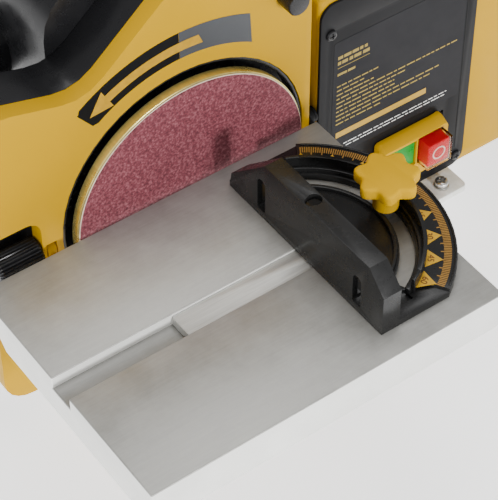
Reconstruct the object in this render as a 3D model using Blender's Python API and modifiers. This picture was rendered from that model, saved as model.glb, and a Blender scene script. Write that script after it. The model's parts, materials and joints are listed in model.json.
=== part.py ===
"""Bench sander with a 152 mm disc and a 100 x 914 mm belt on a tilting arm.

Lengths are millimetres from a datum point: on the table's top plane, at its rear edge, straight in
front of the spindle. X runs along the mitre slot, Y goes back through the disc and Z is up.
The model itself is in metres, and stands on Z = 0 with its origin at the middle of its footprint.
"""
import math

import bmesh
import bpy
from mathutils import Matrix, Vector

MM = 0.001
GAP = 0.3                        # clearance between neighbouring pieces
FLOOR = -149.5                   # the feet's undersides
DEPTH_BACK = 212.0               # y of the drive cover's back

SPINDLE = (0.0, -5.75)           # x, z of the disc's axis
DISC_RADIUS = 76.2
DISC_FACE = 1.5                  # y of the abrasive face
HOUSING_FACE = 9.5               # y of the disc housing's front
HOUSING_SPLIT = 20.0             # y where the front shell ends
HOUSING_REAR = 46.0
HOUSING_LEFT, HOUSING_RIGHT = -128.0, 86.6
HOUSING_TOP = 138.0
OPENING_RADIUS = 81.7
WALL = 3.0

DRUM = (25.0, 108.0)             # x, z of the belt's drive drum, which is also the arm's pivot
DRUM_RADIUS = 27.0
BELT_LENGTH, BELT_WIDTH, BELT_THICKNESS = 914.0, 100.0, 1.2
BELT_NEAR = 54.0                 # y of the belt's edge next to the housing
BELT_PITCH = 2 * math.pi * (DRUM_RADIUS + GAP + BELT_THICKNESS / 2)
IDLER_X = DRUM[0] + (BELT_LENGTH - BELT_PITCH) / 2
TENSION_TRAVEL = 8.0
TENSION_PIVOT = (IDLER_X - 60, DRUM[1])
ARM_LOCK = (DRUM[0] + 44, DRUM[1] - 12)
TRACKING_Y = 37.0                # y of the tracking knob's axis

MOTOR = (172.0, -22.0)           # x, z of the motor's axis
BOX_LEFT, BOX_RIGHT = 93.6, 250.0
BOX_FRONT, BOX_REAR = 11.7, 186.0
BASE_TOP, BASE_THICKNESS = -115.3, 4.7
BOX_BOTTOM, BOX_TOP = BASE_TOP + GAP, 75.0
PANEL_RIGHT, PANEL_TOP, PANEL_BOTTOM = 212.0, 72.0, -112.0
PANEL_SCREWS = [(101, 50), (206, 50), (101, -104), (206, -104)]
EAR_SCREW = (189.0, 1.5)         # x, y of the bolt-down ear's screw
FEET = [(-60, 60), (215, 60), (-60, 185), (215, 185)]
GLAND = (110.0, -95.0)           # x, z of the cable gland
PORT = (105.0, 62.0)             # y, z of the dust port
PORT_RADIUS = 17.5

FAN_BLADES = 9
PULLEY_NEAR, PULLEY_FAR = 189.0, 205.0
SPINDLE_PULLEY, MOTOR_PULLEY = 30.0, 25.0
SPINDLE_TIMING, DRUM_TIMING = 11.2, 20.0
SHAFT, SHAFT_BORE = 7.7, 8.0

START_X, STOP_X = (143.8, 163.2), (165.1, 184.2)
BUTTON_Z = (-79.7, -58.3)

TABLE_LEFT, TABLE_RIGHT = -140.5, 84.6
TABLE_DEPTH, TABLE_HEIGHT, TABLE_SKIN = 164.6, 26.0, 6.0
SLOT_NEAR, SLOT_FAR, SLOT_DEPTH = -89.9, -73.1, 8.0
TILT = (14.2, -9.2)              # y, z of the table's tilt axis
KNOB_LEFT, KNOB_RIGHT = -123.0, -95.0
LUG_LEFT, LUG_RIGHT = (-91.5, -86.2), (87.6, 91.2)

LENGTH_RIGHT = IDLER_X + DRUM_RADIUS + 5
DATUM = Vector((-(TABLE_LEFT + LENGTH_RIGHT) / 2, (TABLE_DEPTH - DEPTH_BACK) / 2, -FLOOR))

HEAD_PIVOT = (18.0, -81.5)       # x, y of the mitre head's pivot
HEAD_RADIUS = 79.8
FENCE_FACE, FENCE_BACK, FENCE_TOP = 13.8, 25.5, 41.0
FENCE_NEAR, FENCE_FAR = -149.6, -13.4
SCALE_WALL = (61.0, 63.2)        # inner and outer radius of the wall inside the scale
KNOB_REACH = 53.0                # from the head's pivot to its clamp stud
MITRE_KNOB = (HEAD_PIVOT[0] + KNOB_REACH, HEAD_PIVOT[1])
STAR_LOW, STAR_TOP = 23.0, 31.3
STAR_TURN = math.radians(28.8)   # the star knob's first lobe from X

PAINTS = {
    "yellow_paint": ((0.95, 0.56, 0.012), 0.35, 0.0),
    "black_paint": ((0.025, 0.025, 0.027), 0.45, 0.0),
    "black_plastic": ((0.03, 0.03, 0.032), 0.4, 0.0),
    "yellow_plastic": ((0.95, 0.58, 0.015), 0.3, 0.0),
    "aluminium": ((0.42, 0.41, 0.38), 0.4, 1.0),
    "zinc_steel": ((0.6, 0.61, 0.56), 0.35, 1.0),
    "steel": ((0.5, 0.5, 0.5), 0.3, 1.0),
    "zinc_gold": ((0.6, 0.48, 0.14), 0.3, 1.0),
    "disc_paper": ((0.22, 0.05, 0.07), 0.9, 0.0),
    "belt_cloth": ((0.24, 0.1, 0.05), 0.9, 0.0),
    "rubber": ((0.02, 0.02, 0.02), 0.8, 0.0),
    "copper": ((0.6, 0.25, 0.1), 0.4, 1.0),
    "red_plastic": ((0.8, 0.03, 0.03), 0.3, 0.0),
    "green_plastic": ((0.05, 0.5, 0.06), 0.3, 0.0),
}
TO_AXIS = {"X": (math.pi / 2, 0, math.pi / 2), "Y": (math.pi / 2, 0, 0), "Z": (0, 0, 0)}
SPIN_AXIS = {"X": (0, math.pi / 2, 0), "Y": (-math.pi / 2, 0, 0), "Z": (0, 0, 0)}


# ---------------------------------------------------------------- scene and shapes

def clear_scene():
    for obj in list(bpy.data.objects):
        bpy.data.objects.remove(obj, do_unlink=True)


def collection(name):
    group = bpy.data.collections.new(name)
    bpy.context.scene.collection.children.link(group)
    return group


def paint(name):
    material = bpy.data.materials.get(name)
    if material is None:
        colour, roughness, metallic = PAINTS[name]
        material = bpy.data.materials.new(name)
        material.use_nodes = True
        shader = material.node_tree.nodes["Principled BSDF"]
        shader.inputs["Base Color"].default_value = (*colour, 1)
        shader.inputs["Roughness"].default_value = roughness
        shader.inputs["Metallic"].default_value = metallic
    return material


def world(x, y, z):
    """World position, in metres, of a point given from the datum."""
    return (Vector((x, y, z)) + DATUM) * MM


def add(name, mesh, finish, location, rotation=(0, 0, 0)):
    """Link a mesh as a part, or as a hidden cutter when it has no finish."""
    obj = bpy.data.objects.new(name, mesh)
    obj.location = location
    obj.rotation_euler = rotation
    if finish:
        mesh.materials.append(paint(finish))
        PARTS.objects.link(obj)
    else:
        CUTTERS.objects.link(obj)
        obj.hide_render = True
        obj.display_type = "WIRE"
    return obj


def box(name, low, high, finish=None, bevel=0.0):
    size = [(b - a) * MM for a, b in zip(low, high)]
    shape = bmesh.new()
    bmesh.ops.create_cube(shape, size=1.0, matrix=Matrix.Diagonal((*size, 1)))
    mesh = bpy.data.meshes.new(name)
    shape.to_mesh(mesh)
    shape.free()
    obj = add(name, mesh, finish, world(*[(a + b) / 2 for a, b in zip(low, high)]))
    if bevel:
        edge = obj.modifiers.new("edges", "BEVEL")
        edge.width = bevel * MM
        edge.segments = 2
    return obj


def prism(name, loops, axis, start, end, finish=None):
    """Flat outline with holes, extruded along an axis. Loops are (y, z), (x, z) or (x, y) points."""
    curve = bpy.data.curves.new(name, "CURVE")
    curve.dimensions = "2D"
    curve.fill_mode = "BOTH"
    curve.extrude = abs(end - start) / 2 * MM
    for loop in loops:
        spline = curve.splines.new("POLY")
        spline.points.add(len(loop) - 1)
        spline.use_cyclic_u = True
        for point, (u, v) in zip(spline.points, loop):
            point.co = (u * MM, v * MM, 0, 1)
    outline = bpy.data.objects.new(name + "_outline", curve)
    bpy.context.scene.collection.objects.link(outline)
    middle = [0.0, 0.0, 0.0]
    middle["XYZ".index(axis)] = (start + end) / 2
    view = bpy.context.evaluated_depsgraph_get()
    mesh = bpy.data.meshes.new_from_object(outline.evaluated_get(view))
    bpy.data.objects.remove(outline)
    shape = bmesh.new()
    shape.from_mesh(mesh)
    bmesh.ops.remove_doubles(shape, verts=shape.verts, dist=1e-6)
    bmesh.ops.recalc_face_normals(shape, faces=shape.faces)
    shape.to_mesh(mesh)
    shape.free()
    mesh.name = name
    mesh.materials.clear()
    return add(name, mesh, finish, world(*middle), TO_AXIS[axis])


def turned(name, centre, axis, profile, finish=None, segments=24, closed=False):
    """Profile of (radius, height) points, from top to bottom along its outside, spun about an axis.

    centre holds the two coordinates across the axis, and the heights are coordinates along it."""
    mesh = bpy.data.meshes.new(name)
    count = len(profile)
    edges = [(i, i + 1) for i in range(count - 1)]
    if closed:
        edges.append((count - 1, 0))
    mesh.from_pydata([(r * MM, 0, h * MM) for r, h in profile], edges, [])
    spot = list(centre)
    spot.insert("XYZ".index(axis), 0.0)
    shift = DATUM["XYZ".index(axis)]
    for vertex in mesh.vertices:
        vertex.co.z += shift * MM
    place = world(*spot)
    place["XYZ".index(axis)] = 0.0
    obj = add(name, mesh, finish, place, SPIN_AXIS[axis])
    spin = obj.modifiers.new("spin", "SCREW")
    spin.axis = "Z"
    spin.angle = 2 * math.pi
    spin.steps = segments
    spin.render_steps = segments
    spin.use_merge_vertices = True
    spin.merge_threshold = 1e-5
    return obj


def stepped(name, centre, axis, sections, finish=None, bore=0.0, segments=20):
    """Turned piece of (radius, from, to) sections, lowest first, with an optional bore."""
    profile = [(bore, sections[-1][2])]
    for radius, start, end in reversed(sections):
        profile += [(radius, end), (radius, start)]
    profile.append((bore, sections[0][1]))
    return turned(name, centre, axis, profile, finish, segments, closed=bore > 0)


def combine(target, operation, others):
    for other in others:
        step = target.modifiers.new(operation.lower(), "BOOLEAN")
        step.operation = operation
        step.solver = "EXACT"
        step.object = other
    return target


def carve(target, *cutters):
    return combine(target, "DIFFERENCE", cutters)


def fuse(target, *pieces):
    return combine(target, "UNION", pieces)


# ---------------------------------------------------------------- outlines

def circle(u, v, radius, count=48):
    return [(u + radius * math.cos(2 * math.pi * i / count),
             v + radius * math.sin(2 * math.pi * i / count)) for i in range(count)]


def arc(u, v, radius, start, end, count):
    """Points on an arc, with its angles in degrees."""
    angles = [math.radians(start + (end - start) * i / count) for i in range(count + 1)]
    return [(u + radius * math.cos(a), v + radius * math.sin(a)) for a in angles]


def rectangle(u0, v0, u1, v1):
    return [(u0, v0), (u1, v0), (u1, v1), (u0, v1)]


def rounded(corners, step=18):
    """Polygon of (u, v, radius) corners, anticlockwise, with each corner rounded to its radius."""
    points = []
    for i, (u, v, radius) in enumerate(corners):
        corner = Vector((u, v))
        before = (Vector(corners[i - 1][:2]) - corner).normalized()
        after = (Vector(corners[(i + 1) % len(corners)][:2]) - corner).normalized()
        if radius <= 0:
            points.append((u, v))
            continue
        half = before.angle(after) / 2
        centre = corner + (before + after).normalized() * (radius / math.sin(half))
        reach = radius / math.tan(half)
        first = corner + before * reach - centre
        last = corner + after * reach - centre
        sweep = math.atan2(first.x * last.y - first.y * last.x, first.dot(last))
        count = max(1, round(abs(math.degrees(sweep)) / step))
        base = math.atan2(first.y, first.x)
        points += [(centre.x + radius * math.cos(base + sweep * k / count),
                    centre.y + radius * math.sin(base + sweep * k / count)) for k in range(count + 1)]
    return points


def inset(corners, distance):
    """The same rounded polygon, moved inwards all round by a distance."""
    moved = []
    for i, (u, v, radius) in enumerate(corners):
        corner = Vector((u, v))
        before = (corner - Vector(corners[i - 1][:2])).normalized()
        after = (Vector(corners[(i + 1) % len(corners)][:2]) - corner).normalized()
        normals = Vector((-before.y, before.x)) + Vector((-after.y, after.x))
        shift = normals * (distance / (1 + before.dot(after)))
        turn = before.x * after.y - before.y * after.x
        change = -distance if turn > 0 else distance
        moved.append((u + shift.x, v + shift.y, max(0.0, radius + change) if radius else 0.0))
    return moved


def pulley_loop(a, radius_a, b, radius_b, count=24):
    """Tight outline round two circles, as a belt takes round its pulleys."""
    a, b = Vector(a), Vector(b)
    along = b - a
    heading = math.degrees(math.atan2(along.y, along.x))
    lean = math.degrees(math.acos((radius_a - radius_b) / along.length))
    return (arc(*a, radius_a, heading + lean, heading + 360 - lean, count)
            + arc(*b, radius_b, heading - lean, heading + lean, count))


# ---------------------------------------------------------------- base

def base_plate():
    """Zinc-plated plate with a bolt-down ear at its front right, on four rubber feet."""
    outline = rounded([(-84, 24, 8), (168, 24, 3), (168, -7.8, 4), (203.3, -7.8, 4), (203.3, 24, 3),
                       (246, 24, 8), (246, 206, 8), (-84, 206, 8)])
    hole = circle(*EAR_SCREW, 2.9, 16)
    prism("base_plate", [outline, hole], "Z", BASE_TOP - BASE_THICKNESS, BASE_TOP, "zinc_steel")
    stepped("ear_screw", EAR_SCREW, "Z",
            [(2.5, -124, BASE_TOP + GAP), (5.0, BASE_TOP + GAP, BASE_TOP + 3.8),
             (3.6, BASE_TOP + 3.8, BASE_TOP + 5)], "zinc_steel", segments=16)
    under = BASE_TOP - BASE_THICKNESS - GAP
    for i, spot in enumerate(FEET):
        stepped(f"foot_{i + 1}", spot, "Z", [(15, FLOOR, FLOOR + 20), (12, FLOOR + 20, under)],
                "rubber", segments=20)


# ---------------------------------------------------------------- disc housing

def housing_corners():
    """Outline of the disc housing, x and z, with the radius of each corner."""
    return [(HOUSING_LEFT, BOX_BOTTOM, 18), (HOUSING_RIGHT, BOX_BOTTOM, 0),
            (HOUSING_RIGHT, HOUSING_TOP, 20), (-1, HOUSING_TOP, 30), (-61, 87.6, 28),
            (HOUSING_LEFT, 106.8, 18)]


def knob_notch(name, start, end, wall=0.0):
    """Round-cornered space for the tilt lock knob in the housing's left edge, or the wall round it."""
    left, right = HOUSING_LEFT + (1 if wall else -3), KNOB_RIGHT + 0.5 + wall
    low, high, radius = -26.5 - wall, 18.7 + wall, 9 + wall
    outline = rounded([(left, low, 0), (right, low, radius), (right, high, radius), (left, high, 0)])
    return prism(name, [outline], "Y", start, end)


def disc_housing():
    """Yellow front shell: a face with the disc's opening, a rim behind it and the tilt bosses."""
    corners = housing_corners()
    shell = prism("disc_housing", [rounded(corners)], "Y", HOUSING_FACE, HOUSING_SPLIT, "yellow_paint")
    hollow = prism("housing_hollow", [rounded(inset(corners, WALL))], "Y",
                   HOUSING_FACE + WALL, HOUSING_SPLIT + 5)
    collar = prism("housing_collar", [circle(*SPINDLE, OPENING_RADIUS + WALL, 48)], "Y",
                   HOUSING_FACE + 1, HOUSING_SPLIT)
    wall = knob_notch("front_notch_wall", HOUSING_FACE + 1, HOUSING_SPLIT, 2.5)
    bosses = [stepped(f"tilt_boss_{i}", TILT, "X", [(4.6, start, end)], segments=20)
              for i, (start, end) in enumerate([(-85.5, -80), (82.2, HOUSING_RIGHT - 0.1)])]
    fuse(carve(shell, hollow), collar, wall, *bosses)
    carve(shell, stepped("disc_opening", SPINDLE, "Y", [(OPENING_RADIUS, 0, 40)], segments=48),
          knob_notch("front_notch", 0, 30),
          box("lug_pocket", (LUG_LEFT[0] - 0.7, 0, -34), (LUG_LEFT[1] + 0.7, 30, -2.5)),
          stepped("tilt_bore_left", TILT, "X", [(3.3, -110, -84)], segments=16),
          stepped("tilt_bore_right", TILT, "X", [(3.3, 82.9, 100)], segments=16))


def housing_back():
    """Black rear shell, which closes the drive space and carries the arm's hub."""
    corners = housing_corners()
    start = HOUSING_SPLIT + GAP
    shell = prism("housing_back", [rounded(corners)], "Y", start, HOUSING_REAR, "black_plastic")
    hub = stepped("arm_hub", DRUM, "Y", [(20, HOUSING_REAR - 2, HOUSING_REAR + 5.5)], segments=20)
    hollow = prism("back_hollow", [rounded(inset(corners, WALL))], "Y", start - 5, HOUSING_REAR - WALL)
    fuse(carve(shell, hollow), hub, knob_notch("back_notch_wall", start, 29.5, 2.5))
    carve(shell, stepped("drum_bore", DRUM, "Y", [(7.8, 30, 60)], segments=20),
          stepped("spindle_bore", SPINDLE, "Y", [(8.3, 30, 60)], segments=20),
          knob_notch("back_notch", 10, 27))


def disc_liner():
    """Black dish behind the disc, which keeps dust out of the drive space."""
    rim = OPENING_RADIUS - GAP
    turned("disc_liner", SPINDLE, "Y",
           [(9, 22.6), (rim, 22.6), (rim, 10.2), (rim - 1.8, 10.2), (rim - 1.8, 20.4), (9, 20.4)],
           "black_plastic", 48, closed=True)


def dust_hood():
    """Black hood round the drive drum's left side, with a dust port."""
    corners = [(-62, 32, 26), (20, 32, 6), (20, 134, 6), (-62, 134, 32)]
    near, far = HOUSING_REAR + GAP, 162.0
    hood = prism("dust_hood", [rounded(corners)], "Y", near, far, "black_plastic")
    fuse(hood, stepped("port_tube", PORT, "X", [(PORT_RADIUS + 2.5, -90, -58)], segments=20))
    inside = inset([(-62, 32, 26), (40, 32, 0), (40, 134, 0), (-62, 134, 32)], WALL)
    hollow = prism("hood_hollow", [rounded(inside)], "Y", near + WALL, far - WALL)
    x, z = DRUM
    carve(hood, hollow, stepped("belt_space", DRUM, "Y", [(31.5, near - 5, far + 5)], segments=36),
          box("upright_arm_space", (x - 31.5, near - 5, z - 6), (x + 40, far + 5, z + 40)),
          stepped("port_bore", PORT, "X", [(PORT_RADIUS, -95, -50)], segments=20))


# ---------------------------------------------------------------- motor box and switch

def motor_box():
    """Yellow box over the motor, open underneath, with vents on its right side."""
    body = box("motor_box", (BOX_LEFT, BOX_FRONT, BOX_BOTTOM), (BOX_RIGHT, BOX_REAR, BOX_TOP),
               "yellow_paint", 3)
    carve(body,
          box("box_inside", (BOX_LEFT + WALL, BOX_FRONT + WALL, BOX_BOTTOM - 5),
              (BOX_RIGHT - WALL, BOX_REAR - WALL, BOX_TOP - WALL)),
          box("panel_opening", (104, 5, -102), (202, 20, 60)),
          stepped("shaft_opening", MOTOR, "Y", [(12, 170, 200)], segments=20),
          stepped("cable_hole", GLAND, "Y", [(6, 170, 200)], segments=16))
    for i in range(7):
        z = -60 + 14 * i
        carve(body, box(f"vent_{i + 1}", (240, 60, z), (260, 140, z + 6)))
    stepped("cable_gland", GLAND, "Y",
            [(5.7, 176, BOX_REAR + GAP), (9, BOX_REAR + GAP, 190), (6.5, 190, 200)],
            "black_plastic", bore=3.5, segments=20)


def cover_plate():
    """Black plate over the box's front, held by four screws."""
    outline = rounded([(BOX_LEFT, PANEL_BOTTOM, 10), (PANEL_RIGHT, PANEL_BOTTOM, 10),
                       (PANEL_RIGHT, PANEL_TOP, 10), (BOX_LEFT, PANEL_TOP, 10)])
    holes = [circle(*spot, 2.2, 12) for spot in PANEL_SCREWS]
    window = rectangle(140, -88, 192, -57)
    prism("cover_plate", [outline, window] + holes, "Y", HOUSING_FACE, BOX_FRONT - GAP, "black_paint")
    for i, spot in enumerate(PANEL_SCREWS):
        stepped(f"cover_screw_{i + 1}", spot, "Y",
                [(3.6, HOUSING_FACE - 1.8, HOUSING_FACE - GAP), (1.9, HOUSING_FACE - GAP, BOX_FRONT - GAP)],
                "steel", segments=16)


def switch():
    """Push-button switch: body behind the plate, yellow frame, green and red buttons."""
    box("switch_body", (141, 9.0, -87), (191, 38, -58), "black_plastic", 1)
    outline = rounded([(137, -90, 3), (190, -90, 3), (198, -82, 3),
                       (198, -66, 3), (189, -55, 3), (137, -55, 3)], 30)
    low, high = BUTTON_Z
    openings = [rectangle(left - GAP, low - GAP, right + GAP, high + GAP)
                for left, right in (START_X, STOP_X)]
    prism("switch_frame", [outline] + openings, "Y", -0.3, 8.7, "yellow_plastic")
    for name, (left, right), front, finish in (("start_button", START_X, 1.0, "green_plastic"),
                                               ("stop_button", STOP_X, -10.0, "red_plastic")):
        box(name, (left, front, low), (right, 5.5, high), finish, 0.6)


def motor():
    """Induction motor on a foot: can, stator, rear shield, rotor, fan and pulley."""
    x, z = MOTOR
    can = stepped("motor_can", MOTOR, "Y", [(62, 42, 160)], "black_paint", segments=48)
    fuse(can, box("motor_foot", (x - 34, 60, BASE_TOP + GAP), (x + 34, 140, z - 50)))
    carve(can, stepped("can_inside", MOTOR, "Y", [(58.5, 45, 165)], segments=48),
          stepped("can_bore", MOTOR, "Y", [(8.0, 30, 50)], segments=20))
    stepped("motor_stator", MOTOR, "Y", [(58.2, 60, 135)], "copper", bore=35, segments=20)
    stepped("motor_shield", MOTOR, "Y", [(58.2, 156, 160)], "aluminium", bore=SHAFT_BORE, segments=20)
    stepped("motor_rotor", MOTOR, "Y", [(SHAFT, 38, 62), (34.5, 62, 133), (SHAFT, 133, PULLEY_FAR + 1)],
            "steel", segments=20)
    blades = []
    for i in range(FAN_BLADES):
        a = 360 / FAN_BLADES * i
        blades += arc(x, z, 22, a, a + 22, 2) + arc(x, z, 52, a + 24, a + 34, 2)
    prism("motor_fan", [blades, circle(x, z, SHAFT_BORE, 24)], "Y", 140, 151, "black_plastic")
    grooved("motor_pulley", MOTOR, MOTOR_PULLEY, 3, PULLEY_NEAR, PULLEY_FAR)


# ---------------------------------------------------------------- spindle and drives

def grooved(name, centre, radius, flange, start, end):
    """Pulley with a flange at each end of its belt face."""
    stepped(name, centre, "Y", [(radius + flange, start, start + 1.5), (radius, start + 1.5, end - 1.5),
                                (radius + flange, end - 1.5, end)], "steel", bore=SHAFT_BORE, segments=20)


def spindle():
    """Disc spindle in its bracket, with the disc, its paper and the two pulleys."""
    x, z = SPINDLE
    near = HOUSING_REAR + GAP
    bracket = stepped("spindle_bracket", SPINDLE, "Y", [(22, near, 184)], "black_paint", segments=20)
    flange = rounded([(-40, -46, 30), (93, -46, 2), (93, 34, 2), (-40, 34, 30)])
    fuse(bracket,
         prism("cover_flange", [flange], "Y", 182, BOX_REAR),
         box("bracket_web", (x - 8, 60, BASE_TOP + GAP), (x + 8, 170, z - 15)),
         box("bracket_foot", (x - 34, 60, BASE_TOP + GAP), (x + 34, 170, BASE_TOP + 5)))
    carve(bracket, stepped("bracket_bore", SPINDLE, "Y", [(12, 40, 190)], segments=20),
          stepped("seat_front", SPINDLE, "Y", [(17.8, 40, 60)], segments=20),
          stepped("seat_rear", SPINDLE, "Y", [(17.8, 169, 190)], segments=20))
    for name, start in (("spindle_bearing_front", near + 1), ("spindle_bearing_rear", 171)):
        stepped(name, SPINDLE, "Y", [(17.5, start, start + 12)], "steel", bore=SHAFT_BORE, segments=20)
    stepped("spindle_shaft", SPINDLE, "Y", [(6, 3.2, 19.3), (SHAFT, 19.3, PULLEY_FAR + 1)], "steel",
            segments=20)
    plate = DISC_FACE + 1.5
    stepped("disc_plate", SPINDLE, "Y", [(DISC_RADIUS + 0.2, plate, plate + 6), (12, plate + 6, 19.2)],
            "zinc_gold", bore=6.3, segments=64)
    stepped("abrasive_disc", SPINDLE, "Y", [(DISC_RADIUS - 0.6, DISC_FACE, DISC_FACE + 1.2)], "disc_paper",
            segments=64)
    grooved("spindle_timing_pulley", SPINDLE, SPINDLE_TIMING, 2.8, 24.5, 38.5)
    grooved("spindle_pulley", SPINDLE, SPINDLE_PULLEY, 3, PULLEY_NEAR, PULLEY_FAR)


def drive_belts():
    """Ribbed belt from the motor at the back, and timing belt up to the drum inside the housing."""
    for name, a, ra, b, rb, start, end in (
            ("drive_belt", SPINDLE, SPINDLE_PULLEY, MOTOR, MOTOR_PULLEY, PULLEY_NEAR + 2, PULLEY_FAR - 2),
            ("timing_belt", SPINDLE, SPINDLE_TIMING, DRUM, DRUM_TIMING, 26.5, 36.5)):
        loops = [pulley_loop(a, ra + extra, b, rb + extra) for extra in (2.5, GAP)]
        prism(name, loops, "Y", start, end, "rubber")
    near, far = BOX_REAR + GAP, DEPTH_BACK
    cover = prism("drive_cover", [pulley_loop(SPINDLE, 42, MOTOR, 42, 20)], "Y", near, far, "black_plastic")
    inside = pulley_loop(SPINDLE, 39.5, MOTOR, 39.5, 20)
    carve(cover, prism("cover_inside", [inside], "Y", near - 5, far - 2.5))


# ---------------------------------------------------------------- belt arm

def drums():
    """Drive drum with its shaft, its timing pulley and the crowned idler drum."""
    near, far = BELT_NEAR - 1, BELT_NEAR + BELT_WIDTH + 1
    stepped("drive_drum", DRUM, "Y", [(7.5, 24, near - 0.5), (DRUM_RADIUS, near, far), (7.5, far, far + 3)],
            "rubber", segments=48)
    stepped("drum_timing_pulley", DRUM, "Y", [(DRUM_TIMING, 25.5, 37.5)], "steel", bore=7.8, segments=20)
    stepped("idler_drum", (IDLER_X, DRUM[1]), "Y", [(DRUM_RADIUS - 0.4, near, near + 25),
            (DRUM_RADIUS, near + 25, far - 25), (DRUM_RADIUS - 0.4, far - 25, far)], "aluminium", bore=6.3,
            segments=48)


def arm():
    """Arm that tilts about the drum: side plate, beam, platen, belt, guard and work stop."""
    x, z = DRUM
    near, far = HOUSING_REAR + 0.6, HOUSING_REAR + 4.6
    plate = prism("arm_side_plate", [rounded([(x, z - 24, 0), (IDLER_X + 16, z - 20, 12),
                                              (IDLER_X + 16, z + 20, 12), (x, z + 24, 0)])],
                  "Y", near, far, "black_paint")
    fuse(plate, stepped("arm_eye", DRUM, "Y", [(31, near, far)], segments=48))
    slot = rounded([(IDLER_X - TENSION_TRAVEL - 6.6, z - 6.6, 6.5), (IDLER_X + 6.6, z - 6.6, 6.5),
                    (IDLER_X + 6.6, z + 6.6, 6.5), (IDLER_X - TENSION_TRAVEL - 6.6, z + 6.6, 6.5)])
    carve(plate, stepped("arm_bore", DRUM, "Y", [(20.3, 40, 60)], segments=20),
          prism("axle_slot", [slot], "Y", 40, 60))
    beam_top = z + DRUM_RADIUS - 4
    beam = box("arm_beam", (x + 37, far + GAP, z - 22), (IDLER_X - 48, BELT_NEAR + 96, beam_top),
               "black_paint", 2)
    carve(beam, box("beam_inside", (x, far + 4, z - 19), (IDLER_X, BELT_NEAR + 93, beam_top - 3)))
    box("platen", (x + 35, far + 0.8, beam_top + GAP),
        (IDLER_X - 35, BELT_NEAR + 99, z + DRUM_RADIUS - GAP), "steel")
    centres = (DRUM, (IDLER_X, z))
    loops = [pulley_loop(centres[0], DRUM_RADIUS + extra, centres[1], DRUM_RADIUS + extra, 20)
             for extra in (GAP + BELT_THICKNESS, GAP)]
    prism("sanding_belt", loops, "Y", BELT_NEAR, BELT_NEAR + BELT_WIDTH, "belt_cloth")
    belt_guard()
    start = HOUSING_RIGHT + 5
    low, top = z + DRUM_RADIUS + 2.4, z + 46
    stop = box("work_stop", (start, far + 1, low), (start + 3, BELT_NEAR + 94, top), "zinc_steel")
    fuse(stop, box("stop_leg", (start, near - 3.4, z + 6), (start + 24, near - 0.4, top)),
         box("stop_bridge", (start, near - 3.4, low), (start + 3, far + 3, top)))


def belt_guard():
    """Cover under the belt's return run, round the idler end and along its far edge."""
    x, z = DRUM
    inner, outer = DRUM_RADIUS + 3.0, DRUM_RADIUS + 5.0
    start, end = BELT_NEAR - 1.5, BELT_NEAR + BELT_WIDTH + 5
    left = x + 40
    skin = ([(left, z - outer)] + arc(IDLER_X, z, outer, -90, 25, 10)
            + arc(IDLER_X, z, inner, 25, -90, 10) + [(left, z - inner)])
    guard = prism("belt_guard", [skin], "Y", start, end, "yellow_paint")
    side = [(left, z - outer)] + arc(IDLER_X, z, outer, -90, 25, 10) + [(IDLER_X, z + 18), (left, z + 18)]
    fuse(guard, prism("guard_side", [side], "Y", end - 2, end))
    carve(guard, stepped("axle_hole", (IDLER_X, z), "Y", [(16, 150, 170)], segments=20))


def tension():
    """Idler carriage with its axle, the quick-release lever and the tracking knob."""
    z = DRUM[1]
    near = HOUSING_REAR + 0.3
    lug = IDLER_X + 12
    plate = box("idler_carriage", (IDLER_X - 22, near - 4, z - 13), (lug, near, z + 13), "zinc_steel")
    axle = stepped("idler_axle", (IDLER_X, z), "Y", [(6, near - 2, BELT_NEAR + BELT_WIDTH + 3)], segments=20)
    fuse(plate, axle, box("tracking_lug", (lug - 8, TRACKING_Y - 4, z - 6), (lug, near, z + 6)))
    lever = stepped("tension_lever", TENSION_PIVOT, "Y", [(9, near - 12, near - 4.5), (4, near - 4.5, near)],
                    "black_plastic", segments=20)
    x, end = TENSION_PIVOT[0], TENSION_PIVOT[0] - 62
    handle = rounded([(end, z - 5, 4.9), (x, z - 6, 0), (x, z + 6, 0), (end, z + 5, 4.9)])
    fuse(lever, prism("lever_bar", [handle], "Y", near - 11, near - 5.5))
    knob = lug + 4.4
    stepped("tracking_knob", (TRACKING_Y, z), "X", [(3, lug + 0.4, knob), (9, knob, knob + 15)],
            "black_plastic", segments=16)


def arm_lock():
    """Lever that clamps the arm's hub at its tilt angle."""
    x, z = ARM_LOCK
    lever = stepped("arm_lock_lever", ARM_LOCK, "Y", [(7, HOUSING_FACE - 12, HOUSING_FACE - GAP)],
                    "black_plastic", segments=16)
    handle = rounded([(x - 4, z, 0), (x + 4, z, 0), (x + 4, z + 34, 3.9), (x - 4, z + 34, 3.9)])
    fuse(lever, prism("lock_bar", [handle], "Y", HOUSING_FACE - 11, HOUSING_FACE - 6))


# ---------------------------------------------------------------- table

def table_plate():
    """Cast table: a skin with skirts, a bevelled rear edge and the mitre slot."""
    bevel = 1.4
    section = [(0, 0), (-TABLE_DEPTH, 0), (-TABLE_DEPTH, -TABLE_HEIGHT),
               (bevel - TABLE_HEIGHT, -TABLE_HEIGHT), (0, -bevel)]
    table = prism("table_plate", [section], "X", TABLE_LEFT, TABLE_RIGHT, "aluminium")
    left, right, skirt = TABLE_LEFT + 4, TABLE_RIGHT - 4, 4 - TABLE_DEPTH
    floor = -TABLE_HEIGHT - 2
    carve(table,
          box("mitre_slot", (TABLE_LEFT - 5, SLOT_NEAR, -SLOT_DEPTH), (TABLE_RIGHT + 5, SLOT_FAR, 5)),
          box("hollow_front", (left, skirt, floor), (right, SLOT_NEAR - 4, -TABLE_SKIN)),
          box("hollow_slot", (left, SLOT_NEAR - 5, floor), (right, SLOT_FAR + 5, -SLOT_DEPTH - 5)),
          box("hollow_rear", (left, SLOT_FAR + 4, floor), (right, -32, -TABLE_SKIN)),
          box("lug_gap", (LUG_LEFT[0] - 1, -40, floor), (LUG_LEFT[1] + 0.5, 5, -TABLE_SKIN - 0.3)))


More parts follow.
